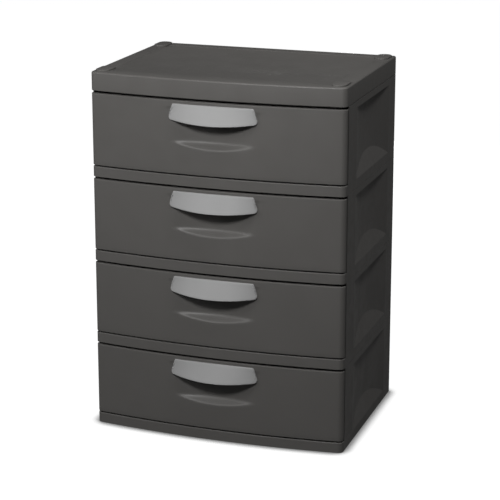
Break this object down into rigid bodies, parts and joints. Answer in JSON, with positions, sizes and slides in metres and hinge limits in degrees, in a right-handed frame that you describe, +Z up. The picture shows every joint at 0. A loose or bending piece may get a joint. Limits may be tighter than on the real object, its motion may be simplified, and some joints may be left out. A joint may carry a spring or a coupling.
{
  "type": "plastic drawer tower",
  "caption": "Tall plastic storage tower of stacked frames with bowed drawers that slide out, cup handles over finger scoops, hollowed sides and a flat tray top.",
  "frame": {"origin": "middle of the tower's footprint on the floor, handles included", "axes": "+Z up, -Y the front where the drawers come out, +X to the right of someone who faces +Y"},
  "size_m": [0.65, 0.5042, 0.9126],
  "materials": {
    "case_plastic": "fine matte",
    "drawer_plastic": "fine matte",
    "handle_plastic": "satin"
  },
  "bodies": {
    "case": {"top_cover": "case_plastic", "frame_1": "case_plastic", "back_panel_1": "case_plastic", "frame_2": "case_plastic", "back_panel_2": "case_plastic", "frame_3": "case_plastic", "back_panel_3": "case_plastic", "frame_4": "case_plastic", "back_panel_4": "case_plastic"},
    "drawer_1": {"drawer_tub_1": "drawer_plastic", "drawer_front_1": "drawer_plastic", "drawer_handle_1": "handle_plastic"},
    "drawer_2": {"drawer_tub_2": "drawer_plastic", "drawer_front_2": "drawer_plastic", "drawer_handle_2": "handle_plastic"},
    "drawer_3": {"drawer_tub_3": "drawer_plastic", "drawer_front_3": "drawer_plastic", "drawer_handle_3": "handle_plastic"},
    "drawer_4": {"drawer_tub_4": "drawer_plastic", "drawer_front_4": "drawer_plastic", "drawer_handle_4": "handle_plastic"}
  },
  "joints": [
    {"name": "drawer_1_slide", "type": "slide", "parent": "case", "child": "drawer_1", "axis": [0, -1, 0], "range_m": [0, 0.32]},
    {"name": "drawer_2_slide", "type": "slide", "parent": "case", "child": "drawer_2", "axis": [0, -1, 0], "range_m": [0, 0.32]},
    {"name": "drawer_3_slide", "type": "slide", "parent": "case", "child": "drawer_3", "axis": [0, -1, 0], "range_m": [0, 0.32]},
    {"name": "drawer_4_slide", "type": "slide", "parent": "case", "child": "drawer_4", "axis": [0, -1, 0], "range_m": [0, 0.32]}
  ]
}
